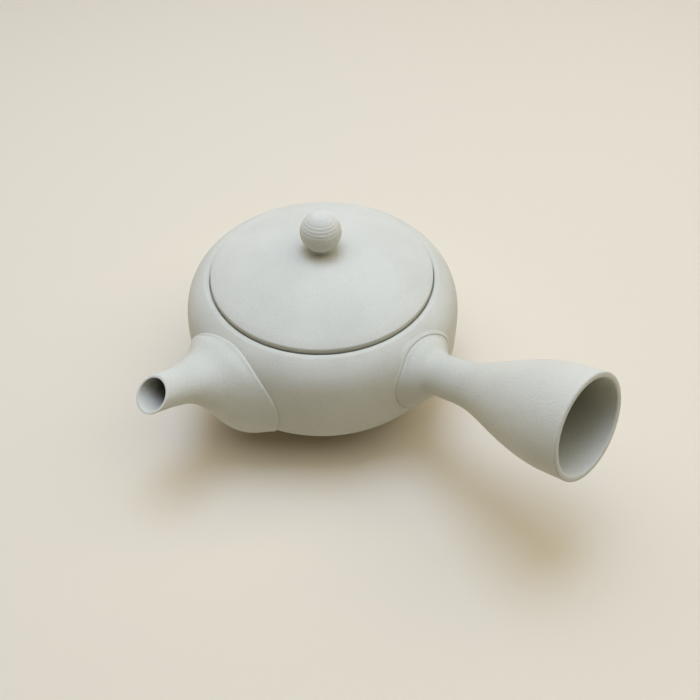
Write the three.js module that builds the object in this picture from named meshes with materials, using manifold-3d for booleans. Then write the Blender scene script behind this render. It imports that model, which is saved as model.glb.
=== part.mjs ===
// Side-handled teapot of unglazed stoneware, in millimetres, +Z up.
// The origin is the centre of the flat foot. The handle points along +X and the spout along -Y.
import * as THREE from 'three';
import { mergeVertices } from 'three/addons/utils/BufferGeometryUtils.js';
import Module from 'manifold-3d';

const wasm = await Module();
wasm.setup();

// Pot
const BELLY_RADIUS = 58;
const BELLY_HEIGHT = 28;
const FOOT_RADIUS = 32;
const FOOT_HEIGHT = 2.5;
const POT_WALL = 3.2;
const FLOOR_THICKNESS = 4;
const LOWER_SQUARENESS = 1.8;
const SHOULDER_SQUARENESS = 4.2;
const RIM_HEIGHT = 59.5;
const MOUTH_RADIUS = 40;
const SEAT_DEPTH = 0.8;

// Lid
const LID_RADIUS = 46;
const LID_EDGE_HEIGHT = 2.1;
const LID_CROWN = 9.4;
const LID_DOME_POWER = 2.1;
const LID_WALL = 3;
const FLANGE_DEPTH = 6;
const FLANGE_WALL = 3;
const LID_CLEARANCE = 0.4;
const VENT_RADIUS = 1.5;
const VENT_DISTANCE = 12.5;
const VENT_DIRECTION = THREE.MathUtils.degToRad(135);

// Knob
const KNOB_RADIUS = 8.3;
const KNOB_STEM_RADIUS = 4.4;
const KNOB_STEM_HEIGHT = 2.3;
const KNOB_BASE_RADIUS = 4.8;
const KNOB_FLAT = 0.3;

// The handle and the spout are tubes whose wide ends are ovals laid on the pot's skin. Each base gives
// its middle above the belly, its top below the rim, its bottom above the foot, its half width, its
// offset aside, how far its edge stands proud and how far it laps over the skin
const TUBE_LEAD = 10;
const TUBE_ROWS_PER_RING = 3;

// Handle: its axis starts inside the belly and rises outwards
const HANDLE_BASE = [13.3, 4.2, 22.9, 15.4, 1.4, 0.5, 4];
const HANDLE_RISE = THREE.MathUtils.degToRad(20.6);
const HANDLE_ROOT_INSET = 2;
const HANDLE_ROOT_RISE = 15.7;
const HANDLE_WALL = 2.1;
// Stations along that axis from the root out, as distance and radius
const HANDLE_STATIONS = [
  [4.4, 11.9],
  [9, 8.7],
  [15, 8.4],
  [28.6, 9.4],
  [48.2, 15.8],
  [61.3, 18.8],
  [76.7, 19.4],
];

// Spout
const SPOUT_BASE = [4.8, 2.6, 6.8, 25.5, 2.7, 0.9, 6];
// Each ring's top point (past the belly, below the rim), bottom point (past the belly, above the
// belly's height), half width, offset aside and wall
const SPOUT_RINGS = [
  [-2.6, 4.7, 2, -12.4, 20.2, 1, 3.2],
  [-0.1, 6.1, 11.3, 5.3, 12.2, 0.5, 2.6],
  [7.2, 5, 17.4, 12.8, 8.9, 0.1, 2.1],
  [15.1, 4, 24.8, 16.5, 7.5, 0, 1.6],
  [23.4, 2.1, 34.4, 20.3, 7.1, 0, 1.3],
];
const PORT_RADIUS = 17;
const PORT_RISE = 4;

// Strainer: a thin perforated dome that bulges into the pot
const STRAINER_RADIUS = 30;
const STRAINER_CENTRE_PAST_BELLY = 11;
const STRAINER_WALL = 2;
const STRAINER_HOLE_RADIUS = 1.1;
const STRAINER_HOLE_STEP = 4.2;
const STRAINER_HOLE_ROWS = 3;
const STRAINER_HOLES_PER_ROW = 6;

// The seam left between two pieces of clay that are joined or rest on each other
const SEAM = 0.3;

// Facets
const ROUND_STEPS = 60;
const HANDLE_STEPS = 32;
const SPOUT_STEPS = 36;
const KNOB_STEPS = 24;
const HOLE_STEPS = 6;
const VENT_STEPS = 12;
const CURVE_STEPS = 8;

// Clay colours
const POT_CLAY = new THREE.MeshStandardMaterial({ color: 0xb9bbb0, roughness: 0.85, metalness: 0 });
const LID_CLAY = new THREE.MeshStandardMaterial({ color: 0xc4c7bc, roughness: 0.85, metalness: 0 });
const HANDLE_CLAY = new THREE.MeshStandardMaterial({ color: 0xb2b4a9, roughness: 0.85, metalness: 0 });

// A closed solid from a geometry, with its shared vertices merged and its faces turned outwards
function solidOf(geometry) {
  const bare = geometry.clone();
  bare.deleteAttribute('normal');
  bare.deleteAttribute('uv');
  const merged = mergeVertices(bare, 1e-4);
  const corners = merged.index.array;
  const kept = [];
  for (let i = 0; i < corners.length; i += 3) {
    const [a, b, c] = [corners[i], corners[i + 1], corners[i + 2]];
    if (a !== b && b !== c && c !== a) {
      kept.push(a, b, c);
    }
  }
  const vertProperties = new Float32Array(merged.attributes.position.array);
  if (signedVolume(vertProperties, kept) < 0) {
    kept.reverse();
  }
  const mesh = new wasm.Mesh({ numProp: 3, vertProperties, triVerts: new Uint32Array(kept) });
  return new wasm.Manifold(mesh);
}

// Six times the volume inside a list of triangles, negative where they face inwards
function signedVolume(points, corners) {
  const at = (i) => new THREE.Vector3().fromArray(points, 3 * i);
  let sum = 0;
  for (let i = 0; i < corners.length; i += 3) {
    sum += at(corners[i]).dot(at(corners[i + 1]).cross(at(corners[i + 2])));
  }
  return sum;
}

// A named mesh from a solid
function piece(name, solid, material) {
  const mesh = solid.getMesh();
  const geometry = new THREE.BufferGeometry();
  geometry.setAttribute('position', new THREE.BufferAttribute(new Float32Array(mesh.vertProperties), 3));
  geometry.setIndex(new THREE.BufferAttribute(new Uint32Array(mesh.triVerts), 1));
  geometry.computeVertexNormals();
  const result = new THREE.Mesh(geometry, material);
  result.name = name;
  return result;
}

// A profile of [radius, height] points turned round the upright axis
function turned(points, steps) {
  const profile = points.map(([radius, height]) => new THREE.Vector2(radius, height));
  return solidOf(new THREE.LatheGeometry(profile, steps).rotateX(Math.PI / 2));
}

// A quarter of a squared ellipse from its widest point towards its pole, as [radius, rise] pairs
function quarter(width, reach, squareness, from, to) {
  const points = [];
  for (let i = 0; i <= CURVE_STEPS; i += 1) {
    const angle = THREE.MathUtils.lerp(from, to, i / CURVE_STEPS);
    const radius = width * Math.max(Math.cos(angle), 0) ** (2 / squareness);
    const rise = reach * Math.sin(angle) ** (2 / squareness);
    points.push([radius, rise]);
  }
  return points;
}

// The reach that takes such a quarter through a given radius and rise
function reachThrough(width, squareness, radius, rise) {
  return rise / (1 - (radius / width) ** squareness) ** (1 / squareness);
}

// The angle at which such a quarter has come in to a given radius
function angleAt(width, squareness, radius) {
  return Math.acos((radius / width) ** (squareness / 2));
}

const SEAT_RADIUS = LID_RADIUS + LID_CLEARANCE;
const SEAT_HEIGHT = RIM_HEIGHT - SEAT_DEPTH;

// The wall of the pot from the foot up to the lid seat, moved out by a given amount
function potOutline(grow) {
  const width = BELLY_RADIUS + grow;
  const foot = FOOT_RADIUS + grow;
  const footRise = BELLY_HEIGHT - FOOT_HEIGHT;
  const lowReach = reachThrough(BELLY_RADIUS, LOWER_SQUARENESS, FOOT_RADIUS, footRise) + grow;
  const lowEnd = angleAt(width, LOWER_SQUARENESS, foot);
  const lower = quarter(width, lowReach, LOWER_SQUARENESS, lowEnd, 0);
  const rimRise = RIM_HEIGHT - BELLY_HEIGHT;
  const highReach = reachThrough(BELLY_RADIUS, SHOULDER_SQUARENESS, SEAT_RADIUS, rimRise) + grow;
  const highEnd = angleAt(width, SHOULDER_SQUARENESS, SEAT_RADIUS);
  const upper = quarter(width, highReach, SHOULDER_SQUARENESS, 0, highEnd);
  return [
    [foot, 0],
    ...lower.map(([radius, rise]) => [radius, BELLY_HEIGHT - rise]),
    ...upper.slice(1).map(([radius, rise]) => [radius, BELLY_HEIGHT + rise]),
  ];
}

// The inside of the pot from the floor up to the mouth, moved in by a given amount
function hollowOutline(shrink) {
  const width = BELLY_RADIUS - POT_WALL - shrink;
  const mouth = MOUTH_RADIUS - shrink;
  const lowReach = BELLY_HEIGHT - FLOOR_THICKNESS - shrink;
  const lower = quarter(width, lowReach, LOWER_SQUARENESS, Math.PI / 2, 0);
  const neckRise = SEAT_HEIGHT - POT_WALL - BELLY_HEIGHT - shrink;
  const highReach = reachThrough(width, SHOULDER_SQUARENESS, mouth, neckRise);
  const highEnd = angleAt(width, SHOULDER_SQUARENESS, mouth);
  const upper = quarter(width, highReach, SHOULDER_SQUARENESS, 0, highEnd);
  return [
    ...lower.map(([radius, rise]) => [radius, BELLY_HEIGHT - rise]),
    ...upper.slice(1).map(([radius, rise]) => [radius, BELLY_HEIGHT + rise]),
  ];
}

// A filled turned form under an outline
function filled(outline) {
  const low = outline[0][1];
  const high = outline[outline.length - 1][1];
  const start = outline[0][0] > 0 ? [[0, low]] : [];
  return turned([...start, ...outline, [0, high]], ROUND_STEPS);
}

// A round bar along -Y from halfway out to well past the belly, which cuts the port
function portBar() {
  const bar = new THREE.CylinderGeometry(PORT_RADIUS, PORT_RADIUS, BELLY_RADIUS, SPOUT_STEPS);
  bar.translate(0, -BELLY_RADIUS, BELLY_HEIGHT + PORT_RISE);
  return solidOf(bar);
}

// Pot: an open thrown shell with a seat for the lid and a round port behind the spout
function makeBody() {
  const outline = [
    [0, 0],
    ...potOutline(0),
    [SEAT_RADIUS, SEAT_HEIGHT],
    [MOUTH_RADIUS, SEAT_HEIGHT],
    ...hollowOutline(0).reverse(),
  ];
  return piece('body', turned(outline, ROUND_STEPS).subtract(portBar()), POT_CLAY);
}

// The reach and squareness of the half of the pot's skin at a height
function skinHalf(height) {
  if (height > BELLY_HEIGHT) {
    const rimRise = RIM_HEIGHT - BELLY_HEIGHT;
    const reach = reachThrough(BELLY_RADIUS, SHOULDER_SQUARENESS, SEAT_RADIUS, rimRise);
    return [reach, SHOULDER_SQUARENESS];
  }
  const footRise = BELLY_HEIGHT - FOOT_HEIGHT;
  return [reachThrough(BELLY_RADIUS, LOWER_SQUARENESS, FOOT_RADIUS, footRise), LOWER_SQUARENESS];
}

// The point of the pot's skin out along +X, at a place across and a height
function onSkin(across, height) {
  const [reach, squareness] = skinHalf(height);
  const rise = Math.abs(height - BELLY_HEIGHT) / reach;
  const radius = BELLY_RADIUS * (1 - rise ** squareness) ** (1 / squareness);
  return new THREE.Vector3(Math.sqrt(radius ** 2 - across ** 2), across, height);
}

// The direction straight out of the pot's skin at a point of it
function skinNormal(point) {
  const [reach, squareness] = skinHalf(point.z);
  const radius = Math.hypot(point.x, point.y);
  const rise = point.z - BELLY_HEIGHT;
  const out = (radius / BELLY_RADIUS) ** (squareness - 1) / BELLY_RADIUS / radius;
  const up = (Math.sign(rise) * (Math.abs(rise) / reach) ** (squareness - 1)) / reach;
  return new THREE.Vector3(point.x * out, point.y * out, up).normalize();
}

// A point of one oval ring of a tube, drawn in by its wall where the hollow is meant
function ringPoint(ring, across, up, hollow) {
  const inset = hollow ? ring.wall : 0;
  const middle = ring.top.clone().add(ring.bottom).divideScalar(2);
  const rise = ring.top.clone().sub(middle);
  rise.setLength(rise.length() - inset);
  return new THREE.Vector3(
    middle.x + rise.x * up, ring.aside + (ring.half - inset) * across, middle.y + rise.y * up);
}

// A line along a tube at an angle round it, from under the pot's skin out to the mouth
function tubeLine(base, rings, angle, hollow) {
  const [rise, belowRim, aboveFoot, half, aside, proud, overlap] = base;
  const [across, up] = [Math.cos(angle), Math.sin(angle)];
  const lap = hollow ? overlap : 0;
  const middle = BELLY_HEIGHT + rise;
  const reachUp = RIM_HEIGHT - belowRim - middle - lap;
  const reachDown = middle - FOOT_HEIGHT - aboveFoot - lap;
  const foot = onSkin(aside + (half - lap) * across, middle + (up > 0 ? reachUp : reachDown) * up);
  const normal = skinNormal(foot);
  const edge = foot.clone().addScaledVector(normal, hollow ? 0 : proud);
  const sunk = foot.clone().addScaledVector(normal, -POT_WALL);
  const points = rings.map((ring) => ringPoint(ring, across, up, hollow));
  const way = points[0].clone().sub(edge);
  if (!hollow) {
    way.projectOnPlane(normal);
  }
  const lead = edge.clone().addScaledVector(way.normalize(), -TUBE_LEAD);
  const curve = new THREE.CatmullRomCurve3([lead, edge, ...points], false, 'catmullrom');
  const rows = rings.length * TUBE_ROWS_PER_RING;
  const start = 1 / (rings.length + 1);
  const line = [sunk];
  for (let i = 0; i <= rows; i += 1) {
    line.push(curve.getPoint(THREE.MathUtils.lerp(start, 1, i / rows)));
  }
  return line.map((point) => point.toArray());
}

// A tube with a wall, out along +X, whose wide end laps on to the pot
function lutedTube(base, rings, steps) {
  const lines = Array.from({ length: steps }, (_, i) => {
    const angle = (2 * Math.PI * i) / steps;
    const inner = tubeLine(base, rings, angle, true).reverse();
    return [...tubeLine(base, rings, angle, false), ...inner];
  });
  const loops = lines[0].map((_, row) => lines.map((line) => line[row]));
  return solidOf(loopedRings(loops, steps)).subtract(filled(potOutline(SEAM)));
}

// Spout: a trumpet with an oblique mouth, a quarter turn from the handle
function makeSpout() {
  const rings = SPOUT_RINGS.map(([topPast, below, bottomPast, above, half, aside, wall]) => {
    const top = new THREE.Vector2(BELLY_RADIUS + topPast, RIM_HEIGHT - below);
    const bottom = new THREE.Vector2(BELLY_RADIUS + bottomPast, BELLY_HEIGHT + above);
    return { top, bottom, half, aside, wall };
  });
  return piece('spout', lutedTube(SPOUT_BASE, rings, SPOUT_STEPS).rotate([0, 0, -90]), POT_CLAY);
}

// A closed skin over rings where the last joins the first
function loopedRings(rings, steps) {
  const positions = rings.flat(2);
  const index = [];
  for (let row = 0; row < rings.length; row += 1) {
    const next = (row + 1) % rings.length;
    for (let i = 0; i < steps; i += 1) {
      const j = (i + 1) % steps;
      const [a, b] = [row * steps + i, row * steps + j];
      const [c, d] = [next * steps + j, next * steps + i];
      index.push(a, b, c, a, c, d);
    }
  }
  const geometry = new THREE.BufferGeometry();
  geometry.setAttribute('position', new THREE.Float32BufferAttribute(positions, 3));
  geometry.setIndex(index);
  return geometry;
}

// Handle: a waisted trumpet, open at its end, on a raised axis
function makeHandle() {
  const root = new THREE.Vector2(BELLY_RADIUS - HANDLE_ROOT_INSET, BELLY_HEIGHT + HANDLE_ROOT_RISE);
  const ahead = new THREE.Vector2(Math.cos(HANDLE_RISE), Math.sin(HANDLE_RISE));
  const up = new THREE.Vector2(-ahead.y, ahead.x);
  const rings = HANDLE_STATIONS.map(([along, radius]) => {
    const centre = root.clone().addScaledVector(ahead, along);
    const top = centre.clone().addScaledVector(up, radius);
    const bottom = centre.clone().addScaledVector(up, -radius);
    return { top, bottom, half: radius, aside: 0, wall: HANDLE_WALL };
  });
  return piece('handle', lutedTube(HANDLE_BASE, rings, HANDLE_STEPS), HANDLE_CLAY);
}

// Strainer: part of a hollow ball inside the pot wall, pierced by rings of round holes
function makeStrainer() {
  const centre = [0, -BELLY_RADIUS - STRAINER_CENTRE_PAST_BELLY, BELLY_HEIGHT + PORT_RISE];
  const [outside, inside] = [STRAINER_RADIUS, STRAINER_RADIUS - STRAINER_WALL].map((radius) =>
    solidOf(new THREE.SphereGeometry(radius, SPOUT_STEPS, 2 * CURVE_STEPS)).translate(centre));
  let dome = outside.subtract(inside).intersect(filled(hollowOutline(SEAM)));
  for (let row = 0; row <= STRAINER_HOLE_ROWS; row += 1) {
    const count = Math.max(1, STRAINER_HOLES_PER_ROW * row);
    const lean = (row * STRAINER_HOLE_STEP) / STRAINER_RADIUS;
    for (let i = 0; i < count; i += 1) {
      const pin = new THREE.CylinderGeometry(
        STRAINER_HOLE_RADIUS, STRAINER_HOLE_RADIUS, 3 * STRAINER_WALL, HOLE_STEPS);
      pin.translate(0, STRAINER_RADIUS - STRAINER_WALL / 2, 0);
      pin.rotateX(lean);
      pin.rotateY((2 * Math.PI * i) / count);
      dome = dome.subtract(solidOf(pin).translate(centre));
    }
  }
  return piece('strainer', dome, POT_CLAY);
}

const LID_UNDERSIDE = SEAT_HEIGHT + SEAM;
const LID_ARRIS = RIM_HEIGHT + LID_EDGE_HEIGHT;

// The height of the lid's top at a radius, level where the knob stands
function lidTop(radius) {
  const share = Math.max(radius, KNOB_BASE_RADIUS) / LID_RADIUS;
  return LID_ARRIS + LID_CROWN * (1 - share ** LID_DOME_POWER);
}

// Lid: a low dome with a locating flange below and a vent behind the knob
function makeLid() {
  const flangeOuter = MOUTH_RADIUS - LID_CLEARANCE;
  const flangeInner = flangeOuter - FLANGE_WALL;
  const inwards = (_, i) => (LID_RADIUS * (CURVE_STEPS - i)) / CURVE_STEPS;
  const radii = Array.from({ length: CURVE_STEPS + 1 }, inwards);
  const top = radii.map((radius) => [radius, lidTop(radius)]);
  const hollow = radii.filter((radius) => radius < flangeInner).reverse();
  const under = hollow.map((radius) => [radius, lidTop(radius) - LID_WALL]);
  const outline = [
    ...under,
    [flangeInner, lidTop(flangeInner) - LID_WALL],
    [flangeInner, LID_UNDERSIDE - FLANGE_DEPTH],
    [flangeOuter, LID_UNDERSIDE - FLANGE_DEPTH],
    [flangeOuter, LID_UNDERSIDE],
    [LID_RADIUS, LID_UNDERSIDE],
    ...top,
  ];
  const vent = new THREE.CylinderGeometry(VENT_RADIUS, VENT_RADIUS, LID_RADIUS, VENT_STEPS);
  vent.rotateX(Math.PI / 2);
  vent.translate(VENT_DISTANCE, 0, LID_ARRIS);
  vent.rotateZ(VENT_DIRECTION);
  return piece('lid', turned(outline, ROUND_STEPS).subtract(solidOf(vent)), LID_CLAY);
}

// Knob: a ball with a slightly flattened top on a waisted stem
function makeKnob() {
  const base = lidTop(0) + SEAM;
  const neckAngle = Math.asin(KNOB_STEM_RADIUS / KNOB_RADIUS);
  const centre = base + KNOB_STEM_HEIGHT + KNOB_RADIUS * Math.cos(neckAngle);
  const flatAngle = Math.acos((KNOB_RADIUS - KNOB_FLAT) / KNOB_RADIUS);
  const flare = KNOB_BASE_RADIUS - KNOB_STEM_RADIUS;
  const outline = [[0, base], [KNOB_BASE_RADIUS, base]];
  for (let i = 1; i <= CURVE_STEPS; i += 1) {
    const share = i / CURVE_STEPS;
    const waist = Math.cos((share * Math.PI) / 2) ** 2;
    outline.push([KNOB_STEM_RADIUS + flare * waist, base + KNOB_STEM_HEIGHT * share]);
  }
  for (let i = 1; i <= CURVE_STEPS; i += 1) {
    const angle = THREE.MathUtils.lerp(neckAngle, Math.PI - flatAngle, i / CURVE_STEPS);
    outline.push([KNOB_RADIUS * Math.sin(angle), centre - KNOB_RADIUS * Math.cos(angle)]);
  }
  outline.push([0, centre + KNOB_RADIUS - KNOB_FLAT]);
  return piece('lid_knob', turned(outline, KNOB_STEPS), LID_CLAY);
}

const kyusu = new THREE.Group();
kyusu.add(makeBody(), makeSpout(), makeHandle(), makeStrainer(), makeLid(), makeKnob());

export default kyusu;
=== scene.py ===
"""A side-handled teapot of unglazed grey-green stoneware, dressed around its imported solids.

Every piece is fired clay: a thrown pot, spout and handle, a pierced strainer
inside, and a loose lid with a turned knob. Sizes are in millimetres and are
turned to metres only when a mesh is made.
"""
import logging
import math
from dataclasses import dataclass
from enum import Enum

import bmesh
import bpy
import numpy as np
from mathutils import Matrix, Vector


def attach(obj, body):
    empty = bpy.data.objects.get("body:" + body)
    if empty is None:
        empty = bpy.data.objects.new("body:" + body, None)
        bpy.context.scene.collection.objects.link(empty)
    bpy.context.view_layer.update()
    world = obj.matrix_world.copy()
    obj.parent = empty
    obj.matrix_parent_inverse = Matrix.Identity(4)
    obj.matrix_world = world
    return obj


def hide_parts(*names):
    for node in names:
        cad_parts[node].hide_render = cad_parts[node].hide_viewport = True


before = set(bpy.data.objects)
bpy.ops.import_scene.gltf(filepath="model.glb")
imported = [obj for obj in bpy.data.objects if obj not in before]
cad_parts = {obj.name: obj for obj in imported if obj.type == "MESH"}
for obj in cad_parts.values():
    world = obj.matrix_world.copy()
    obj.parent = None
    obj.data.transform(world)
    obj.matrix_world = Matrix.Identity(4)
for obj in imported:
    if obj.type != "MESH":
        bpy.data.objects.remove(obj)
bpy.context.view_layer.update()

LOG = logging.getLogger("teapot")
MM = 0.001

# Points closer than this, in metres, are one
WELD = 1e-7
# Keeps a power's base off nought
GUARD = 1e-6
# Points round the pot and the lid, the knob, the spout's port and the lid's vent
TURN_STEPS = 192
KNOB_STEPS = 128
PORT_STEPS = 64
VENT_STEPS = 40
# Points along a quarter of the pot's outline
QUARTER_STEPS = 56
# Points round the lip of a tube, round its luted edge, and across its slip
LIP_STEPS = 17
EDGE_STEPS = 7
SLIP_STEPS = 16


class Body(Enum):
    """The two bodies that pieces ride on."""

    POT = "pot"
    LID = "lid_assembly"


def linear(code: str) -> tuple[float, float, float, float]:
    """Turn an sRGB hex colour into linear light.

    Args:
        code: the colour as six hex digits, with or without a leading hash.

    Returns:
        Red, green, blue and alpha in linear light.
    """
    digits = code.lstrip("#")
    channels = [int(digits[i:i + 2], 16) / 255 for i in (0, 2, 4)]
    light = [c / 12.92 if c <= 0.04045 else ((c + 0.055) / 1.055) ** 2.4 for c in channels]
    return (light[0], light[1], light[2], 1.0)


def spline(knots: np.ndarray, share: np.ndarray) -> np.ndarray:
    """Follow a smooth curve through evenly spaced knots.

    Each stretch is a cubic whose slope at a knot is half the step between the
    knot's neighbours, with one more knot laid on straight after the last.

    Args:
        knots: the values to pass through, one row each, of any shape.
        share: places along the curve from 0 to 1.

    Returns:
        The curve's values, one row for each place.
    """
    padded = np.concatenate([knots[:1], knots, 2 * knots[-1:] - knots[-2:-1]])
    place = np.clip(share, 0, 1) * (len(knots) - 1)
    low = np.minimum(place.astype(int), len(knots) - 2)
    t = (place - low).reshape(-1, *[1] * (knots.ndim - 1))
    a, b, c, d = (padded[low + i] for i in range(4))
    return 0.5 * (
        2 * b + (c - a) * t + (2 * a - 5 * b + 4 * c - d) * t ** 2
        + (3 * b - a - 3 * c + d) * t ** 3
    )


def mesh_from_grid(name: str, grid: np.ndarray, loop_rows: bool) -> bpy.types.Object:
    """Skin a grid of points that closes round each row.

    Args:
        name: the piece's name.
        grid: points in millimetres, rows by columns by three.
        loop_rows: whether the last row joins the first, as in a tube with a wall.

    Returns:
        The linked object, with doubled points merged and its faces outwards.
    """
    rows, columns = grid.shape[:2]
    index = np.arange(rows * columns).reshape(rows, columns)
    below = index if loop_rows else index[:-1]
    above = np.roll(index, -1, axis=0) if loop_rows else index[1:]
    quads = np.stack(
        [below, np.roll(below, -1, axis=1), np.roll(above, -1, axis=1), above], axis=-1)
    mesh = bpy.data.meshes.new(name)
    mesh.from_pydata((grid.reshape(-1, 3) * MM).tolist(), [], quads.reshape(-1, 4).tolist())
    work = bmesh.new()
    work.from_mesh(mesh)
    bmesh.ops.remove_doubles(work, verts=work.verts, dist=WELD)
    bmesh.ops.recalc_face_normals(work, faces=work.faces)
    work.to_mesh(mesh)
    work.free()
    mesh.polygons.foreach_set("use_smooth", np.ones(len(mesh.polygons), bool))
    piece = bpy.data.objects.new(name, mesh)
    bpy.context.scene.collection.objects.link(piece)
    return piece


def turned_grid(outline: np.ndarray, steps: int) -> np.ndarray:
    """Turn an outline round the upright axis: x = r cos a, y = r sin a, z = z.

    Args:
        outline: radius and height pairs in millimetres.
        steps: the number of columns round the axis.

    Returns:
        Points in millimetres, one row for each outline point.
    """
    angle = np.linspace(0, 2 * math.pi, steps, endpoint=False)
    radius, height = outline[:, :1], outline[:, 1:]
    return np.stack(
        [radius * np.cos(angle), radius * np.sin(angle), height + 0 * angle], axis=-1)


def rounded(outline: list[tuple[float, float, float]], steps: int = 5) -> np.ndarray:
    """Round the corners of an outline with quadratic curves.

    Args:
        outline: radius, height and corner size for each point.
        steps: the number of points on each rounded corner.

    Returns:
        The outline's radius and height pairs.
    """
    points = np.array([p[:2] for p in outline], float)
    made = [points[0]]
    for i in range(1, len(points) - 1):
        before, here, after = points[i - 1], points[i], points[i + 1]
        size = outline[i][2]
        if size <= 0:
            made.append(here)
            continue
        start = here + (before - here) * min(size / np.linalg.norm(before - here), 0.5)
        end = here + (after - here) * min(size / np.linalg.norm(after - here), 0.5)
        t = np.linspace(0, 1, steps)[:, None]
        made.extend((1 - t) ** 2 * start + 2 * t * (1 - t) * here + t ** 2 * end)
    made.append(points[-1])
    return np.array(made)


@dataclass(frozen=True)
class Stoneware:
    """Unglazed stoneware, thrown, turned and fired bare.

    The clay is fine and dry to the eye: no coat or gloss, a sandy tooth, pale
    and dark grains, and slow drifts of tone where the kiln's air changed. Its
    real sand is about 0.15 mm, and is drawn as coarse as it needs to show.

    Attributes:
        name: the material's name.
        clay: the main colour.
        pale: the colour of the lighter drifts and grains.
        deep: the colour of the darker grains.
        grain_mm: the size of one grain.
        drift_mm: the size of one drift of tone.
        tooth_mm: how far the grains stand up.
        grit_share: how much of the dark grains' colour shows.
        painted_shade: the colour of the painted shade inside the spout and the handle.
        iron: the colour of the few specks of iron.
        iron_mm: the size of such a speck.
        iron_every_mm: the size of the cells that may each hold one.
    """

    name: str
    clay: str
    pale: str
    deep: str
    grain_mm: float = 0.35
    drift_mm: float = 26.0
    tooth_mm: float = 0.32
    grit_share: float = 0.22
    painted_shade: str = "#35352e"
    iron: str = "#6b665a"
    iron_mm: float = 0.5
    iron_every_mm: float = 9.0

    def build(self) -> bpy.types.Material:
        """Make the material's nodes.

        Returns:
            The finished material.
        """
        material = bpy.data.materials.new(self.name)
        material.use_nodes = True
        tree = material.node_tree
        tree.nodes.clear()
        place = add_node(tree, "ShaderNodeTexCoord").outputs["Object"]
        grain = add_node(
            tree, "ShaderNodeTexNoise",
            {"Scale": 1 / (self.grain_mm * 2 * MM), "Detail": 3.0, "Roughness": 0.65},
            {"Vector": place})
        colour = self.drifted(tree, place)
        colour = self.sanded(tree, place, colour, grain.outputs["Fac"])
        colour = self.ironed(tree, place, colour)
        # Painted shade: darkens the hollow inside of the spout and the handle
        inside = add_node(tree, "ShaderNodeAttribute")
        inside.attribute_name = "painted_shade"
        colour = mix_colour(tree, colour, linear(self.painted_shade), inside.outputs["Fac"])
        roughness = add_node(
            tree, "ShaderNodeMapRange",
            {"From Min": 0.3, "From Max": 0.7, "To Min": 0.78, "To Max": 0.92},
            {"Value": grain.outputs["Fac"]})
        bump = add_node(
            tree, "ShaderNodeBump", {"Strength": 0.6, "Distance": self.tooth_mm * MM},
            {"Height": grain.outputs["Fac"]})
        shader = add_node(
            tree, "ShaderNodeBsdfPrincipled",
            {"IOR": 1.5, "Metallic": 0.0, "Specular IOR Level": 0.35},
            {"Base Color": colour,
             "Roughness": roughness.outputs["Result"],
             "Normal": bump.outputs["Normal"]})
        add_node(tree, "ShaderNodeOutputMaterial", {}, {"Surface": shader.outputs["BSDF"]})
        return material

    def drifted(
        self, tree: bpy.types.NodeTree, place: bpy.types.NodeSocket
    ) -> bpy.types.NodeSocket:
        """Give the clay's colour with the slow drifts of tone that the fire leaves.

        Args:
            tree: the material's nodes.
            place: the socket that gives the place on the object.

        Returns:
            The socket that gives the colour.
        """
        drift = add_node(
            tree, "ShaderNodeTexNoise",
            {"Scale": 1 / (self.drift_mm * MM), "Detail": 3.0, "Roughness": 0.5},
            {"Vector": place})
        share = add_node(
            tree, "ShaderNodeMapRange",
            {"From Min": 0.35, "From Max": 0.65, "To Min": 0.0, "To Max": 0.5},
            {"Value": drift.outputs["Fac"]})
        return mix_colour(tree, linear(self.clay), linear(self.pale), share.outputs["Result"])

    def sanded(
        self,
        tree: bpy.types.NodeTree,
        place: bpy.types.NodeSocket,
        colour: bpy.types.NodeSocket,
        grain: bpy.types.NodeSocket,
    ) -> bpy.types.NodeSocket:
        """Add the clay's darker grit, and the pale sand that shows where it was smoothed.

        Args:
            tree: the material's nodes.
            place: the socket that gives the place on the object.
            colour: the socket that gives the colour so far.
            grain: the socket that gives the grain's height.

        Returns:
            The socket that gives the new colour.
        """
        grit_share = add_node(
            tree, "ShaderNodeMapRange",
            {"From Min": 0.46, "From Max": 0.3, "To Min": 0.0, "To Max": self.grit_share},
            {"Value": grain})
        gritty = mix_colour(tree, colour, linear(self.deep), grit_share.outputs["Result"])
        sand = add_node(
            tree, "ShaderNodeTexVoronoi", {"Scale": 1 / (self.grain_mm * 3 * MM)},
            {"Vector": place})
        sand_share = add_node(
            tree, "ShaderNodeMapRange",
            {"From Min": 0.16, "From Max": 0.08, "To Min": 0.0, "To Max": 0.35},
            {"Value": sand.outputs["Distance"]})
        return mix_colour(tree, gritty, linear(self.pale), sand_share.outputs["Result"])

    def ironed(
        self,
        tree: bpy.types.NodeTree,
        place: bpy.types.NodeSocket,
        colour: bpy.types.NodeSocket,
    ) -> bpy.types.NodeSocket:
        """Add a few specks of iron, in about one cell of eight.

        Args:
            tree: the material's nodes.
            place: the socket that gives the place on the object.
            colour: the socket that gives the colour so far.

        Returns:
            The socket that gives the new colour.
        """
        cell = add_node(
            tree, "ShaderNodeTexVoronoi", {"Scale": 1 / (self.iron_every_mm * MM)},
            {"Vector": place})
        reach = self.iron_mm / 2 / self.iron_every_mm
        spot = add_node(
            tree, "ShaderNodeMapRange",
            {"From Min": reach * 1.3, "From Max": reach * 0.7, "To Min": 0.0, "To Max": 1.0},
            {"Value": cell.outputs["Distance"]})
        pick = add_node(tree, "ShaderNodeSeparateColor", {}, {"Color": cell.outputs["Color"]})
        share = add_node(
            tree, "ShaderNodeMapRange",
            {"From Min": 0.86, "From Max": 0.9, "To Min": 0.0},
            {"Value": pick.outputs["Red"], "To Max": spot.outputs["Result"]})
        return mix_colour(tree, colour, linear(self.iron), share.outputs["Result"])


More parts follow.
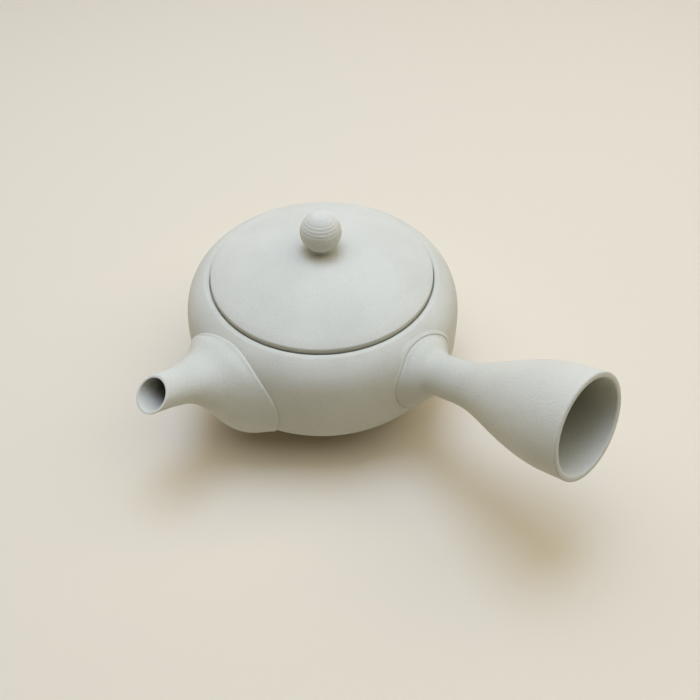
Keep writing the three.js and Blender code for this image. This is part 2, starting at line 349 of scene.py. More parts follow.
def add_node(
    tree: bpy.types.NodeTree,
    kind: str,
    settings: dict | None = None,
    links: dict | None = None,
) -> bpy.types.Node:
    """Add a node with its socket values and links.

    Args:
        tree: the node tree to add to.
        kind: the node's type.
        settings: values for its input sockets, by name.
        links: the output sockets that feed its inputs, by name.

    Returns:
        The new node.
    """
    node = tree.nodes.new(kind)
    for name, value in (settings or {}).items():
        node.inputs[name].default_value = value
    for name, output in (links or {}).items():
        tree.links.new(output, node.inputs[name])
    return node


def mix_colour(
    tree: bpy.types.NodeTree,
    first: tuple | bpy.types.NodeSocket,
    second: tuple | bpy.types.NodeSocket,
    share: bpy.types.NodeSocket,
) -> bpy.types.NodeSocket:
    """Mix two colours by a share.

    Args:
        tree: the node tree to add to.
        first: a colour, or the socket that gives one.
        second: a colour, or the socket that gives one.
        share: the socket that gives the second colour's share.

    Returns:
        The socket that gives the mixed colour.
    """
    node = add_node(tree, "ShaderNodeMix")
    node.data_type = "RGBA"
    colours = [socket for socket in node.inputs if socket.type == "RGBA"]
    for socket, value in zip(colours, (first, second)):
        if isinstance(value, bpy.types.NodeSocket):
            tree.links.new(value, socket)
        else:
            socket.default_value = value
    tree.links.new(share, node.inputs["Factor"])
    return next(socket for socket in node.outputs if socket.type == "RGBA")


@dataclass
class Pot:
    """The thrown pot: a full belly, a round shoulder, a seat for the lid and a low foot.

    Attributes:
        belly: the largest radius.
        belly_height: its height above the foot.
        foot: the radius of the flat foot.
        foot_height: where the belly's curve meets the foot.
        wall: the thickness of the wall.
        floor: the thickness of the floor.
        low_square: how square the curve below the belly is.
        high_square: how square the shoulder is.
        rim: the radius at which the shoulder would meet the lid.
        rim_height: the height that it would have there.
        seat: the radius of the rim's inner edge.
        collar: the width of the level band that is turned round it.
        seat_depth: how far the lid's seat lies below the collar.
        gap_depth: how far the groove round the seat goes below the collar.
        mouth: the radius of the mouth.
        port: the radius of the port behind the spout.
        port_height: its height.
        rim_round: how far the collar's inner edge is rounded.
        collar_round: how far its outer edge is rounded.
        gap_width: the width of the groove's floor.
        gap_lean: how far the groove's inner side leans in.
        gap_round: how far the groove's corners are rounded.
        seat_round: how far the seat's outer edge is rounded.
        mouth_round: how far the mouth's edge is rounded.
        foot_round: how far the foot's edge is rounded.
        port_bar_span: where the bar that cuts the port starts and ends.
    """

    belly: float = 58.0
    belly_height: float = 28.0
    foot: float = 32.0
    foot_height: float = 2.5
    wall: float = 3.2
    floor: float = 4.0
    low_square: float = 1.8
    high_square: float = 4.2
    rim: float = 46.4
    rim_height: float = 59.8
    seat: float = 46.5
    collar: float = 2.0
    seat_depth: float = 0.75
    gap_depth: float = 2.2
    mouth: float = 40.0
    port: float = 17.0
    port_height: float = 32.0
    rim_round: float = 0.5
    collar_round: float = 0.9
    gap_width: float = 1.4
    gap_lean: float = 0.4
    gap_round: float = 0.2
    seat_round: float = 0.3
    mouth_round: float = 0.6
    foot_round: float = 0.8
    port_bar_span: tuple[float, float] = (30.0, 70.0)

    @property
    def low_reach(self) -> float:
        """The reach of the lower curve, which takes it through the foot's edge."""
        rise = self.belly_height - self.foot_height
        return self.reach_through(self.belly, self.foot, rise, self.low_square)

    @property
    def high_reach(self) -> float:
        """The reach of the shoulder, which takes it through the rim."""
        rise = self.rim_height - self.belly_height
        return self.reach_through(self.belly, self.rim, rise, self.high_square)

    @staticmethod
    def reach_through(width: float, radius: float, rise: float, square: float) -> float:
        """Give the reach b of (r / width)^p + (z / b)^p = 1 through a point.

        Args:
            width: the curve's widest radius.
            radius: the point's radius.
            rise: the point's rise above the widest place.
            square: the power p.

        Returns:
            The reach in millimetres.
        """
        return rise / (1 - (radius / width) ** square) ** (1 / square)

    def radius_at(self, height: np.ndarray) -> np.ndarray:
        """Give the radius of the outer skin at heights.

        Args:
            height: the heights in millimetres.

        Returns:
            The radii in millimetres.
        """
        rise = np.abs(height - self.belly_height)
        reach = np.where(height > self.belly_height, self.high_reach, self.low_reach)
        power = np.where(height > self.belly_height, self.high_square, self.low_square)
        return self.belly * (1 - (rise / reach) ** power) ** (1 / power)

    def distance(self, points: np.ndarray) -> np.ndarray:
        """Give the distance of points from the pot's outer skin, positive outside.

        The skin is a squared ellipse g = (a^p + b^p)^(1/p) = 1, and the distance
        is (g - 1) over the length of g's slope.

        Args:
            points: places in millimetres, with a last axis of three.

        Returns:
            The distances in millimetres.
        """
        radius = np.hypot(points[..., 0], points[..., 1])
        rise = points[..., 2] - self.belly_height
        high = rise > 0
        width = self.belly
        reach = np.where(high, self.high_reach, self.low_reach)
        power = np.where(high, self.high_square, self.low_square)
        a = np.maximum(radius, GUARD) / width
        b = np.maximum(np.abs(rise), GUARD) / reach
        g = (a ** power + b ** power) ** (1 / power)
        slope = np.hypot(a ** (power - 1) / width, b ** (power - 1) / reach) * g ** (1 - power)
        return (g - 1) / slope

    def outward(self, points: np.ndarray) -> np.ndarray:
        """Give the direction straight out of the pot's skin at points near it.

        Args:
            points: places in millimetres, with a last axis of three.

        Returns:
            Unit vectors with the shape of points.
        """
        step = 0.05
        slope = np.stack(
            [self.distance(points + step * axis) - self.distance(points - step * axis)
             for axis in np.eye(3)], axis=-1)
        return slope / np.linalg.norm(slope, axis=-1, keepdims=True)

    @staticmethod
    def quarter(
        width: float, reach: float, square: float, start: float, end: float
    ) -> np.ndarray:
        """Give a quarter of a squared ellipse, from its widest point towards its pole.

        Args:
            width: its radius.
            reach: its height.
            square: its squareness, 2 for a plain ellipse.
            start: the angle to start at.
            end: the angle to end at.

        Returns:
            Radius and rise pairs.
        """
        angle = np.linspace(start, end, QUARTER_STEPS)
        return np.stack(
            [width * np.maximum(np.cos(angle), 0) ** (2 / square),
             reach * np.sin(angle) ** (2 / square)], axis=-1)

    def outline(self) -> np.ndarray:
        """Give the pot's whole outline, from under the foot round to the inner floor.

        Returns:
            Radius and height pairs in millimetres.
        """
        low_end = math.acos((self.foot / self.belly) ** (self.low_square / 2))
        lower = self.quarter(self.belly, self.low_reach, self.low_square, low_end, 0)
        break_radius = self.seat + self.collar
        high_end = math.acos((break_radius / self.belly) ** (self.high_square / 2))
        upper = self.quarter(self.belly, self.high_reach, self.high_square, 0, high_end)
        widest = np.array([0, self.belly_height])
        lower = widest + lower * (1, -1)
        upper = widest + upper[1:]
        collar_height = upper[-1, 1]
        seat_height = collar_height - self.seat_depth
        groove = collar_height - self.gap_depth
        foot = rounded(
            [(0, 0, 0), (self.foot, 0, self.foot_round), (self.foot, self.foot_height, 0)])
        # The collar is turned level and its edge sponged, so it catches the light
        groove_end = self.seat - self.gap_width
        rim = rounded([
            (*upper[-3], 0),
            (*upper[-1], self.collar_round),
            (self.seat, collar_height, self.rim_round),
            (self.seat, groove, self.gap_round),
            (groove_end, groove, self.gap_round),
            (groove_end - self.gap_lean, seat_height, self.seat_round),
            (self.mouth, seat_height, self.mouth_round),
            (self.mouth, seat_height - self.wall, 0),
        ])
        width = self.belly - self.wall
        neck = seat_height - self.wall - self.belly_height
        reach = self.reach_through(width, self.mouth, neck, self.high_square)
        inner_end = math.acos((self.mouth / width) ** (self.high_square / 2))
        inner_upper = widest + self.quarter(width, reach, self.high_square, inner_end, 0)[1:]
        depth = self.belly_height - self.floor
        inner_lower = self.quarter(width, depth, self.low_square, 0, math.pi / 2)[1:]
        inner_lower = widest + inner_lower * (1, -1)
        inner_lower[-1, 0] = 0
        return np.vstack([foot[:-1], lower, upper[:-2], rim[1:], inner_upper, inner_lower])

    def build(self, finish: bpy.types.Material) -> bpy.types.Object:
        """Make the pot and cut its port.

        Args:
            finish: the pot's material.

        Returns:
            The finished pot.
        """
        piece = mesh_from_grid("pot_shell", turned_grid(self.outline(), TURN_STEPS), False)
        bar = mesh_from_grid("port_bar", self.port_bar(), False)
        cut_with(piece, bar)
        return dress(piece, finish, Body.POT, "pot_clay", "body")

    def port_bar(self) -> np.ndarray:
        """Give a round bar along -Y from inside the pot to past its skin.

        Returns:
            Points in millimetres, one row for each end's middle and edge.
        """
        angle = np.linspace(0, 2 * math.pi, PORT_STEPS, endpoint=False)
        start, end = self.port_bar_span
        reach = np.array([start, start, end, end])[:, None]
        radius = np.array([0.0, self.port, self.port, 0.0])[:, None]
        return np.stack(
            [radius * np.cos(angle), -reach + 0 * angle,
             self.port_height + radius * np.sin(angle)], axis=-1)


def cut_with(piece: bpy.types.Object, tool: bpy.types.Object) -> None:
    """Cut a piece with a tool and delete the tool.

    Args:
        piece: the object to cut.
        tool: the closed object to take away from it.
    """
    cut = piece.modifiers.new("cut", "BOOLEAN")
    cut.operation = "DIFFERENCE"
    cut.solver = "EXACT"
    cut.object = tool
    graph = bpy.context.evaluated_depsgraph_get()
    made = bpy.data.meshes.new_from_object(piece.evaluated_get(graph))
    piece.modifiers.clear()
    piece.data = made
    bpy.data.objects.remove(tool)


def dress(
    piece: bpy.types.Object,
    finish: bpy.types.Material,
    body: Body,
    slot: str,
    *nodes: str,
) -> bpy.types.Object:
    """Give a piece its finish and its place among the bodies.

    Args:
        piece: the finished mesh object.
        finish: its material.
        body: the body that it rides on.
        slot: not used.
        nodes: the solids that it stands for.

    Returns:
        The same piece.
    """
    piece.data.materials.clear()
    piece.data.materials.append(finish)
    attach(piece, body.value)
    if nodes:
        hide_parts(*nodes)
    LOG.info("%s: %d faces", piece.name, len(piece.data.polygons))
    return piece


@dataclass
class Tube:
    """A thrown tube with a wall, whose wide end is an oval laid on the pot's skin.

    It is worked out as if it stood out along X. A line runs along it at each
    angle: through the oval's point, then through each ring's point, with the
    first slope along the skin, so the flare leaves the pot softly.

    Attributes:
        pot: the pot that it is luted to.
        bearing: its direction round the pot, in degrees from X.
        base: the oval's middle height, reach up, reach down, half width and offset aside.
        rings: rows of top distance, top height, bottom distance, bottom height,
            half width, offset aside, wall, how much narrower the top is than the
            bottom, and how square the ring is, 2 for a plain oval.
        proud: how far the oval's edge stands above the skin.
        lap: how wide the band of clay is that lies on the skin.
        lead: how strongly the flare keeps to the skin at first.
        lip_square: how flat the lip is, 2 for a round one.
        wiped: how high the band of slip stands that was wiped round the joint.
        painted_shade: how much painted shade darkens the inside.
        painted_shade_reach: how far in from the lip the painted shade is full.
        sink: how far under the skin its edge and its inside start.
        edge_reach: how far the rounded edge goes out, as a share of how proud it is.
        lip_reach: how far the lip swells ahead, as a share of half the wall.
        slip_width: how wide the band of slip is.
        columns: the number of points round it.
        rows: the number of rows along it.
    """

    pot: Pot
    bearing: float
    base: tuple[float, float, float, float, float]
    rings: np.ndarray
    proud: float
    lap: float
    lead: float = 10.0
    lip_square: float = 3.0
    wiped: float = 0.0
    painted_shade: float = 0.0
    painted_shade_reach: float = 10.0
    sink: float = 0.15
    edge_reach: float = 0.9
    lip_reach: float = 0.8
    slip_width: float = 3.6
    columns: int = 144
    rows: int = 120

    def oval(self, lap: float) -> np.ndarray:
        """Lay an oval on the pot's skin.

        Args:
            lap: how far inside the base's edge it lies.

        Returns:
            One point for each column.
        """
        middle, up, down, half, aside = self.base
        angle = np.linspace(0, 2 * math.pi, self.columns, endpoint=False)
        across = aside + (half - lap) * np.cos(angle)
        reach = np.where(np.sin(angle) > 0, up, down) - lap
        height = middle + reach * np.sin(angle)
        away = np.sqrt(self.pot.radius_at(height) ** 2 - across ** 2)
        return np.stack([away, across, height], axis=-1)

    def loops(self, hollow: bool) -> np.ndarray:
        """Give the points of the rings, each a squared ellipse with its pinch.

        Args:
            hollow: whether the hollow is meant, so that the wall draws them in.

        Returns:
            Points in millimetres, one row for each ring.
        """
        angle = np.linspace(0, 2 * math.pi, self.columns, endpoint=False)[None, :]
        flat = 2 / self.rings[:, 8:9]
        side = np.sign(np.cos(angle)) * np.abs(np.cos(angle)) ** flat
        high = np.sign(np.sin(angle)) * np.abs(np.sin(angle)) ** flat
        wall = self.rings[:, 6:7] * hollow
        middle = (self.rings[:, 0:2] + self.rings[:, 2:4]) / 2
        rise = (self.rings[:, 0:2] - self.rings[:, 2:4]) / 2
        rise *= 1 - wall / np.linalg.norm(rise, axis=-1, keepdims=True)
        half = (self.rings[:, 4:5] - wall) * (1 - self.rings[:, 7:8] * high)
        across = self.rings[:, 5:6] + half * side
        away, height = middle[:, :1] + rise[:, :1] * high, middle[:, 1:] + rise[:, 1:] * high
        return np.stack([away, across, height], axis=-1)

    def surface(self, hollow: bool) -> np.ndarray:
        """Give the outer or the inner surface, from the pot's skin to the mouth.

        Args:
            hollow: whether the inner one is meant.

        Returns:
            Points in millimetres, one row for each step along the tube.
        """
        start = self.oval(self.lap * hollow)
        out = self.pot.outward(start)
        start = start + out * self.proud * (not hollow)
        loops = self.loops(hollow)
        way = loops[0] - start
        if not hollow:
            way -= out * np.sum(way * out, axis=-1, keepdims=True)
        way /= np.linalg.norm(way, axis=-1, keepdims=True)
        knots = np.concatenate([(start - way * self.lead)[None], start[None], loops])
        share = np.linspace(1 / (len(knots) - 1), 1, self.rows)
        return spline(knots, share)

    def grid(self) -> np.ndarray:
        """Work out the whole tube, from its luted edge over the lip and back inside.

        Returns:
            Points in millimetres, whose last row joins the first.
        """
        outer, inside = self.surface(False), self.surface(True)
        middle = (outer[-1] + inside[-1]) / 2
        across = outer[-1] - middle
        forward = outer[-1] - outer[-2]
        forward /= np.linalg.norm(forward, axis=-1, keepdims=True)
        turn = np.linspace(0, math.pi, LIP_STEPS)[1:-1, None, None]
        round_off = np.linalg.norm(across, axis=-1, keepdims=True)
        flat = 2 / self.lip_square
        over, ahead = np.abs(np.cos(turn)) ** flat * np.sign(np.cos(turn)), np.sin(turn) ** flat
        lip = middle + over * across + ahead * forward * round_off * self.lip_reach
        # The inside starts a hair under the skin
        inside[0] -= self.pot.outward(inside[0]) * self.sink
        made = np.concatenate([self.luted_edge(outer)[::-1], outer, lip, inside[::-1]])
        bearing = math.radians(self.bearing)
        east, north = math.cos(bearing), math.sin(bearing)
        return made @ np.array([[east, north, 0], [-north, east, 0], [0, 0, 1]])

    def build(self, name: str) -> bpy.types.Object:
        """Make the tube's mesh and note on it how much painted shade each point gets.

        The painted shade grows evenly from the lip to its reach, along each line inside.

        Args:
            name: the piece's name.

        Returns:
            The linked object.
        """
        grid = self.grid()
        piece = mesh_from_grid(name, grid, True)
        inside = grid[-self.rows:]
        steps = np.linalg.norm(np.diff(inside, axis=0), axis=-1)
        depth = np.concatenate([0 * steps[:1], np.cumsum(steps, axis=0)])
        share = np.zeros(grid.shape[:2])
        share[-self.rows:] = self.painted_shade * np.clip(depth / self.painted_shade_reach, 0, 1)
        # The share of painted shade at each point, read by the clay's material
        layer = piece.data.attributes.new("painted_shade", "FLOAT", "POINT")
        layer.data.foreach_set("value", share.reshape(-1))
        return piece

    def luted_edge(self, outer: np.ndarray) -> np.ndarray:
        """Round the edge down on to the pot with a quarter ellipse, and wipe slip round it.

        The slip's height rises with the square root of the way across it and
        fades with the square of what is left. At a fifth of the way it is highest.

        Args:
            outer: the outer surface's rows, from the edge out.

        Returns:
            Rows from the surface down to just under the pot's skin.
        """
        first = outer[0]
        out = self.pot.outward(first)
        along = first - outer[1]
        along -= out * np.sum(along * out, axis=-1, keepdims=True)
        along /= np.linalg.norm(along, axis=-1, keepdims=True)
        turn = np.linspace(0, math.pi / 2, EDGE_STEPS)[1:]
        # A joint with slip stops a hair over the skin, and the slip ends just under it
        sink, slip_start, slip_end = (self.sink, 0, 0) if self.wiped == 0 else (0, 0.03, 0.05)
        away = self.proud * self.edge_reach * np.sin(turn)
        height = self.proud * np.cos(turn) + (slip_start - sink) * (1 - np.cos(turn))
        if self.wiped > 0:
            across = np.linspace(0, 1, SLIP_STEPS)[1:]
            away = np.append(away, away[-1] + self.slip_width * across)
            # The factor makes the band's height at its top the wiped one
            band = self.wiped * 3.5 * np.sqrt(across) * (1 - across) ** 2
            height = np.append(height, band - slip_end * across)
        laid = first + along * away[:, None, None] - out * self.proud
        skin = self.pot.outward(laid)
        return laid + skin * (height[:, None, None] - self.pot.distance(laid)[..., None])


@dataclass
class Handle:
    """The hollow side handle: a waisted trumpet on a raised axis, open at its end.

    Attributes:
        pot: the pot that it is luted to.
        root: where its axis starts, along X and up.
        rise: the slope of its axis in degrees.
        wall: the thickness of its wall.
        cut: how far the mouth's lower edge is cut back.
        base: the oval that it starts from, as in Tube.
        stations: distance along the axis and radius, from the root out.
    """

    pot: Pot
    root: tuple[float, float] = (56.0, 43.7)
    rise: float = 20.6
    wall: float = 2.3
    cut: float = 2.2
    base: tuple[float, float, float, float, float] = (41.3, 14.0, 17.0, 15.5, 1.4)
    stations: tuple[tuple[float, float], ...] = (
        (4.4, 11.9),
        (9.0, 8.7),
        (15.0, 8.4),
        (28.6, 9.4),
        (48.2, 15.8),
        (61.3, 18.8),
        (76.7, 19.4),
    )

    def rings(self) -> np.ndarray:
        """Give the rings that it passes through, turned across the raised axis.

        Returns:
            One row for each ring, as in Tube.
        """
        slope = math.radians(self.rise)
        ahead = np.array([math.cos(slope), math.sin(slope)])
        up = np.array([-math.sin(slope), math.cos(slope)])
        along, radius = np.hsplit(np.array(self.stations), 2)
        centre = np.array(self.root) + along * ahead
        below = centre - radius * up
        below[-1] -= self.cut * ahead
        level = 0 * radius
        return np.hstack(
            [centre + radius * up, below, radius, level, level + self.wall, level, level + 2])

    def build(self, finish: bpy.types.Material) -> bpy.types.Object:
        """Make the handle.

        Args:
            finish: its material.

        Returns:
            The finished handle.
        """
        # The hollow inside gets painted shade, full 30 mm in from the mouth
        shape = Tube(
            self.pot, 0.0, self.base, self.rings(), proud=0.75, lap=4.0, lead=5.0, wiped=0.45,
            painted_shade=0.55, painted_shade_reach=30.0)
        return dress(shape.build("side_handle"), finish, Body.POT, "handle_clay", "handle")


@dataclass
class Spout:
    """The trumpet spout, cut obliquely at its mouth.

    Attributes:
        pot: the pot that it is luted to.
        base: the oval that it starts from, as in Tube.
        rings: the rings from the flare to the mouth, as in Tube.
    """

    pot: Pot
    base: tuple[float, float, float, float, float] = (32.6, 23.6, 23.0, 24.9, 2.3)
    rings: tuple[tuple[float, ...], ...] = (
        (56.6, 55.9, 60.0, 15.6, 20.0, 1.1, 3.2, 0.03, 2.4),
        (61.6, 54.6, 69.3, 33.3, 12.2, 0.6, 2.6, 0.02, 2.3),
        (66.6, 54.7, 75.4, 40.8, 9.1, 0.1, 2.1, 0.0, 2.1),
        (73.1, 55.5, 82.8, 44.5, 7.5, 0.0, 1.6, 0.0, 2.0),
        (80.9, 57.7, 92.4, 48.3, 7.3, 0.0, 1.0, 0.0, 2.0),
    )

    def build(self, finish: bpy.types.Material) -> bpy.types.Object:
        """Make the spout.

        Args:
            finish: its material.

        Returns:
            The finished spout.
        """
        # The hollow inside gets painted shade, dark 12 mm in from the mouth
        shape = Tube(
            self.pot, -90.0, self.base, np.array(self.rings), proud=1.0, lap=6.0, lead=3.0,
            painted_shade=0.95, painted_shade_reach=12.0)
        return dress(shape.build("spout_trumpet"), finish, Body.POT, "spout_clay", "spout")


@dataclass
class Lid:
    """The loose lid: a low dome with a standing edge, a locating flange and a vent.

    Attributes:
        radius: the lid's radius.
        seat_height: the height of its underside.
        edge_top: the height of its outer arris.
        edge_fall: how much further the dome falls beside the arris.
        edge_width: how wide that fall is.
        crown: how far the dome rises above the arris.
        power: how quickly the dome falls towards its edge, 2 for an even fall.
        wall: the thickness of the dome.
        flange_radius: the outer radius of the flange.
        flange_wall: its thickness.
        flange_depth: how far it reaches below the underside.
        flat: the radius of the level middle that the knob stands on.
        vent: the radius of the vent.
        vent_away: its distance from the middle.
        vent_turn: its direction from X in degrees.
        vent_length: the length of the bar that cuts it.
        flange_round: how far the flange's lower edges are rounded.
        edge_round: how far the lid's lower edge is rounded.
        arris_round: how far its upper edge is rounded.
        corner_round: how far the inner corners are rounded.
        edge_run: how far in from the edge the rounding is worked out.
    """

    radius: float = 46.0
    seat_height: float = 58.05
    edge_top: float = 60.8
    edge_fall: float = 0.35
    edge_width: float = 3.5
    crown: float = 10.2
    power: float = 2.4
    wall: float = 3.0
    flange_radius: float = 39.6
    flange_wall: float = 3.0
    flange_depth: float = 5.1
    flat: float = 4.8
    vent: float = 1.5
    vent_away: float = 12.5
    vent_turn: float = 135.0
    vent_length: float = 20.0
    flange_round: float = 0.8
    edge_round: float = 0.7
    arris_round: float = 0.4
    corner_round: float = 0.3
    edge_run: float = 2.0

    def top(self, radius: np.ndarray) -> np.ndarray:
        """Give the dome's height: it falls with a power of the radius, and more at the edge.

        Args:
            radius: the distances from the middle in millimetres.

        Returns:
            The heights in millimetres.
        """
        share = np.maximum(radius, self.flat) / self.radius
        into_edge = np.clip((radius - self.radius) / self.edge_width + 1, 0, 1)
        fall = self.edge_fall * (into_edge ** 2 - 1)
        return self.edge_top + self.crown * (1 - share ** self.power) - fall

    def outline(self) -> np.ndarray:
        """Give the lid's outline, from under its middle round to its top.

        Returns:
            Radius and height pairs in millimetres.
        """
        inner = self.flange_radius - self.flange_wall
        step = 0.5
        below = np.linspace(0, inner - step, 40)
        under = np.stack([below, self.top(below) - self.wall], axis=-1)
        corner = float(self.top(np.array(inner))) - self.wall
        low = self.seat_height - self.flange_depth
        start = self.radius - self.edge_run
        edge = rounded([
            (inner - step, under[-1, 1], 0),
            (inner, corner, self.corner_round),
            (inner, low, self.flange_round),
            (self.flange_radius, low, self.flange_round),
            (self.flange_radius, self.seat_height, self.corner_round),
            (self.radius, self.seat_height, self.edge_round),
            (self.radius, self.edge_top, self.arris_round),
            (start, float(self.top(np.array(start))), 0),
        ])
        above = np.linspace(start - step, 0, 90)
        dome = np.stack([above, self.top(above)], axis=-1)
        return np.vstack([under[:-1], edge, dome])

    def vent_bar(self) -> np.ndarray:
        """Give a round bar that stands through the dome where the vent is.

        Returns:
            Points in millimetres, one row for each end's middle and edge.
        """
        turn = math.radians(self.vent_turn)
        angle = np.linspace(0, 2 * math.pi, VENT_STEPS, endpoint=False)
        radius = np.array([0.0, self.vent, self.vent, 0.0])[:, None]
        low, high = self.seat_height, self.seat_height + self.vent_length
        height = np.array([low, low, high, high])[:, None]
        return np.stack(
            [self.vent_away * math.cos(turn) + radius * np.cos(angle),
             self.vent_away * math.sin(turn) + radius * np.sin(angle),
             height + 0 * angle], axis=-1)

    def build(self, finish: bpy.types.Material) -> bpy.types.Object:
        """Make the lid and pierce its vent.

        Args:
            finish: its material.

        Returns:
            The finished lid.
        """
        piece = mesh_from_grid("lid_dome", turned_grid(self.outline(), TURN_STEPS), False)
        cut_with(piece, mesh_from_grid("vent_bar", self.vent_bar(), False))
        return dress(piece, finish, Body.LID, "lid_clay", "lid")


@dataclass
class Knob:
    """The turned ball knob on its waisted stem.

    Attributes:
        base_height: the height that it stands on.
        radius: the radius of the ball.
        stem: the radius of the stem's waist.
        stem_height: the height of the stem.
        base: the radius of its base.
        flat: how much of the ball's top is turned away.
        ring_depth: how deep its turned rings are.
        ring_step: the angle from ring to ring, in radians.
        ring_start: the angle up from the ball's foot at which they begin.
        ring_end: the angle at which they end.
        ring_fade: the angle over which the first and the last one fade.
        sink: how far its base reaches into the lid.
    """

    base_height: float = 70.9
    radius: float = 8.3
    stem: float = 4.2
    stem_height: float = 2.3
    base: float = 4.5
    flat: float = 0.5
    ring_depth: float = 0.09
    ring_step: float = 0.17
    ring_start: float = 1.8
    ring_end: float = 2.5
    ring_fade: float = 0.08
    sink: float = 0.3

    def outline(self) -> np.ndarray:
        """Give the knob's outline, from its base up the stem and round the ball.

        The stem narrows with the square of a cosine, and the rings are a wave
        in the ball's radius.

        Returns:
            Radius and height pairs in millimetres.
        """
        neck = math.asin(self.stem / self.radius)
        centre = self.base_height + self.stem_height + self.radius * math.cos(neck)
        share = np.linspace(0, 1, 16)
        waist = np.cos(share * math.pi / 2) ** 2
        low = self.base_height - self.sink
        stem = np.stack(
            [self.stem + (self.base - self.stem) * waist,
             low + (self.stem_height + self.sink) * share], axis=-1)
        cap = math.acos((self.radius - self.flat) / self.radius)
        turn = np.linspace(neck, math.pi - cap, 260)[1:]
        within = np.clip((turn - self.ring_start) / self.ring_fade, 0, 1)
        within *= np.clip((self.ring_end - turn) / self.ring_fade, 0, 1)
        wave = 0.5 - 0.5 * np.cos((turn - self.ring_start) * 2 * math.pi / self.ring_step)
        radius = self.radius - self.ring_depth * within * wave
        ball = np.stack([radius * np.sin(turn), centre - radius * np.cos(turn)], axis=-1)
        top = np.array([[0.0, ball[-1, 1]]])
        return np.vstack([[[0.0, low]], stem, ball, top])

    def build(self, finish: bpy.types.Material) -> bpy.types.Object:
        """Make the knob.

        Args:
            finish: its material.

        Returns:
            The finished knob.
        """
        piece = mesh_from_grid("ball_knob", turned_grid(self.outline(), KNOB_STEPS), False)
        return dress(piece, finish, Body.LID, "knob_clay", "lid_knob")


@dataclass(frozen=True)
class Panel:
    """A soft oval lamp that hangs over the table and faces it.

    Attributes:
        name: the lamp's name.
        place: how far right of, past and above the pot it hangs as the camera
            sees it, in metres.
        size: its width and depth in metres.
        watts: its power.
        tint: its colour.
    """

    name: str
    place: tuple[float, float, float]
    size: tuple[float, float]
    watts: float
    tint: str


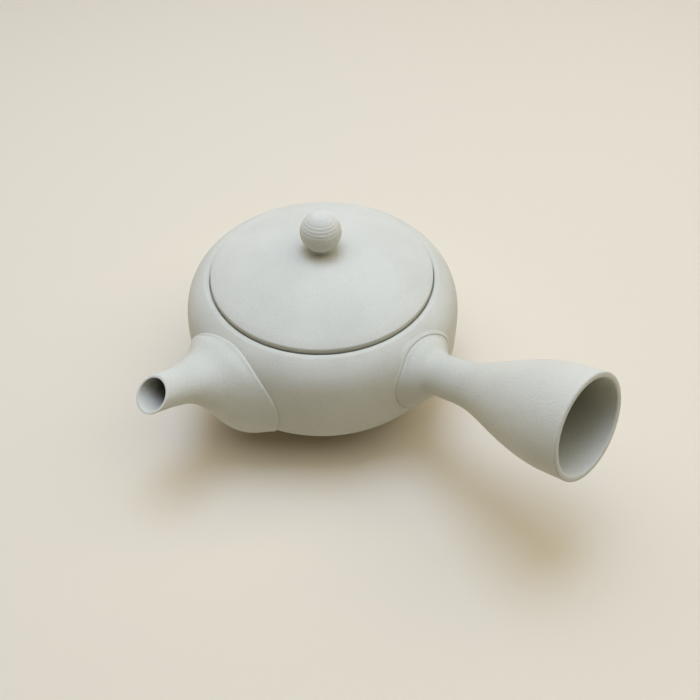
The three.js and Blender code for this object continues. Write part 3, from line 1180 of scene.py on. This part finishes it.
@dataclass
class Studio:
    """The pale table, the soft light and the camera.

    Attributes:
        azimuth: the camera's direction round the pot, in degrees.
        elevation: its height above the horizon, in degrees.
        distance: its distance from the point that it looks at.
        aim: that point, right of, past and above the pot's foot as the camera sees it.
        lens: its focal length on a sensor as wide as the frame.
        sensor: the width of that sensor.
        panels: the lamps, a cool core just below a wide one.
        wall_light: how bright the room's walls are.
        wall_lean: how much brighter than that they are to the right and past the
            pot, as the camera sees it.
        wall_tint: their colour.
        wall_top: where they end, as a share of the way up the sky.
        backdrop: the pale colour that the camera sees past the table's middle.
        fade: the distances from the pot, in metres, over which the table turns to it.
        paint: the table's colour.
        paint_roughness: its roughness.
        table_reach: how far the table goes each way, in metres.
    """

    azimuth: float = 45.0
    elevation: float = 46.8
    distance: float = 380.5
    aim: tuple[float, float, float] = (11.61, 9.24, 1.9)
    lens: float = 41.14
    sensor: float = 36.0
    panels: tuple[Panel, ...] = (
        Panel("core_panel", (-0.02, 0.12, 1.06), (0.57, 0.57), 6.3, "#abc7ff"),
        Panel("wide_panel", (0.46, 0.09, 1.1), (3.15, 1.57), 20.9, "#fffcf8"),
    )
    wall_light: float = 1.556
    wall_lean: tuple[float, float] = (-0.1, 0.92)
    wall_tint: str = "#ffece3"
    wall_top: float = 0.35
    backdrop: str = "#e0d8c9"
    fade: tuple[float, float] = (0.5, 0.95)
    paint: str = "#ded3b9"
    paint_roughness: float = 0.9
    table_reach: float = 6.0

    def seen(self, right: float, past: float, above: float) -> Vector:
        """Turn a place that the camera sees into the object's frame.

        Args:
            right: how far right of the pot it is.
            past: how far past the pot it is.
            above: how far above the pot's foot it is.

        Returns:
            The place, in the same unit.
        """
        turn = math.radians(self.azimuth)
        return Vector((
            right * math.cos(turn) - past * math.sin(turn),
            right * math.sin(turn) + past * math.cos(turn), above))

    def camera(self) -> None:
        """Place the camera."""
        rise = math.radians(self.elevation)
        back = self.seen(0.0, -math.cos(rise), math.sin(rise))
        target = self.seen(*self.aim) * MM
        data = bpy.data.cameras.new("studio_camera")
        data.lens = self.lens
        data.sensor_width = self.sensor
        data.clip_start = 0.01
        camera = bpy.data.objects.new("studio_camera", data)
        camera.location = target + back * self.distance * MM
        camera.rotation_mode = "QUATERNION"
        camera.rotation_quaternion = (-back).to_track_quat("-Z", "Y")
        bpy.context.scene.collection.objects.link(camera)
        bpy.context.scene.camera = camera

    def hang(self, panel: Panel) -> None:
        """Hang a lamp.

        Args:
            panel: the lamp to hang.
        """
        data = bpy.data.lights.new(panel.name, "AREA")
        data.shape = "ELLIPSE"
        data.size, data.size_y = panel.size
        data.energy = panel.watts
        data.color = linear(panel.tint)[:3]
        lamp = bpy.data.objects.new(panel.name, data)
        lamp.location = self.seen(*panel.place)
        lamp.rotation_euler = (0, 0, math.radians(self.azimuth))
        bpy.context.scene.collection.objects.link(lamp)

    def room(self) -> None:
        """Light the room's warm walls: full at the horizon, gone at their top."""
        world = bpy.data.worlds.new("room")
        world.use_nodes = True
        tree = world.node_tree
        place = add_node(tree, "ShaderNodeTexCoord").outputs["Generated"]
        split = add_node(tree, "ShaderNodeSeparateXYZ", {}, {"Vector": place})
        right, past = self.wall_lean
        lean = add_node(
            tree, "ShaderNodeVectorMath", {1: self.seen(right, past, 0.0)}, {0: place})
        lean.operation = "DOT_PRODUCT"
        level = add_node(
            tree, "ShaderNodeMapRange",
            {"From Min": -1.0, "From Max": 1.0, "To Min": 0.0, "To Max": 2 * self.wall_light},
            {"Value": lean.outputs["Value"]})
        fall = add_node(
            tree, "ShaderNodeMapRange",
            {"From Min": 0.0, "From Max": self.wall_top, "To Max": 0.0},
            {"Value": split.outputs["Z"], "To Min": level.outputs["Result"]})
        shader = tree.nodes["Background"]
        shader.inputs["Color"].default_value = linear(self.wall_tint)
        tree.links.new(fall.outputs["Result"], shader.inputs["Strength"])
        # The camera sees a plain backdrop, and there is no metal or glass to mirror it
        plain = add_node(
            tree, "ShaderNodeBackground", {"Color": linear(self.backdrop), "Strength": 1.0})
        path = add_node(tree, "ShaderNodeLightPath")
        both = add_node(
            tree, "ShaderNodeMixShader", {},
            {0: path.outputs["Is Camera Ray"], 1: shader.outputs["Background"],
             2: plain.outputs["Background"]})
        tree.links.new(both.outputs["Shader"], tree.nodes["World Output"].inputs["Surface"])
        bpy.context.scene.world = world

    def table(self) -> None:
        """Lay a wide pale table top under the pot."""
        data = bpy.data.meshes.new("table_top")
        reach = self.table_reach
        corners = [(-reach, -reach, 0), (reach, -reach, 0), (reach, reach, 0), (-reach, reach, 0)]
        data.from_pydata(corners, [], [(0, 1, 2, 3)])
        top = bpy.data.objects.new("table_top", data)
        bpy.context.scene.collection.objects.link(top)
        material = bpy.data.materials.new("table_paint")
        material.use_nodes = True
        tree = material.node_tree
        shader = tree.nodes["Principled BSDF"]
        shader.inputs["Base Color"].default_value = linear(self.paint)
        shader.inputs["Roughness"].default_value = self.paint_roughness
        # Far from the pot, where the panels' light ends, the camera sees the backdrop
        place = add_node(tree, "ShaderNodeTexCoord").outputs["Object"]
        away = add_node(tree, "ShaderNodeVectorMath", {}, {0: place})
        away.operation = "LENGTH"
        path = add_node(tree, "ShaderNodeLightPath")
        near, far = self.fade
        share = add_node(
            tree, "ShaderNodeMapRange", {"From Min": near, "From Max": far, "To Min": 0.0},
            {"Value": away.outputs["Value"], "To Max": path.outputs["Is Camera Ray"]})
        plain = add_node(
            tree, "ShaderNodeEmission", {"Color": linear(self.backdrop), "Strength": 1.0})
        both = add_node(
            tree, "ShaderNodeMixShader", {},
            {0: share.outputs["Result"], 1: shader.outputs["BSDF"], 2: plain.outputs["Emission"]})
        tree.links.new(both.outputs["Shader"], tree.nodes["Material Output"].inputs["Surface"])
        data.materials.append(material)

    def build(self) -> None:
        """Set up the camera, the lamps, the room and the table."""
        bpy.context.scene.view_settings.view_transform = "Standard"
        self.camera()
        for panel in self.panels:
            self.hang(panel)
        self.room()
        self.table()


def main() -> None:
    """Build the studio and every piece of the teapot."""
    logging.basicConfig(level=logging.INFO, format="%(name)s: %(message)s")
    Studio().build()
    pot_clay = Stoneware(
        "pot_stoneware", clay="#c4c3b1", pale="#d1d0be", deep="#959483").build()
    # A lighter copy of the pot's clay for the spout, the lid and the knob; on the spout it is
    # painted light
    pale_clay = Stoneware(
        "pale_stoneware", clay="#c8c7b5", pale="#d5d4c4", deep="#9b9a8a").build()
    pot = Pot()
    pot.build(pot_clay)
    Handle(pot).build(pot_clay)
    # Painted light: the spout takes the lighter clay so that it looks more brightly lit
    Spout(pot).build(pale_clay)
    Lid().build(pale_clay)
    Knob().build(pale_clay)
    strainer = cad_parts["strainer"]
    strainer.data.materials.clear()
    strainer.data.materials.append(pot_clay)


if __name__ == "__main__":
    main()
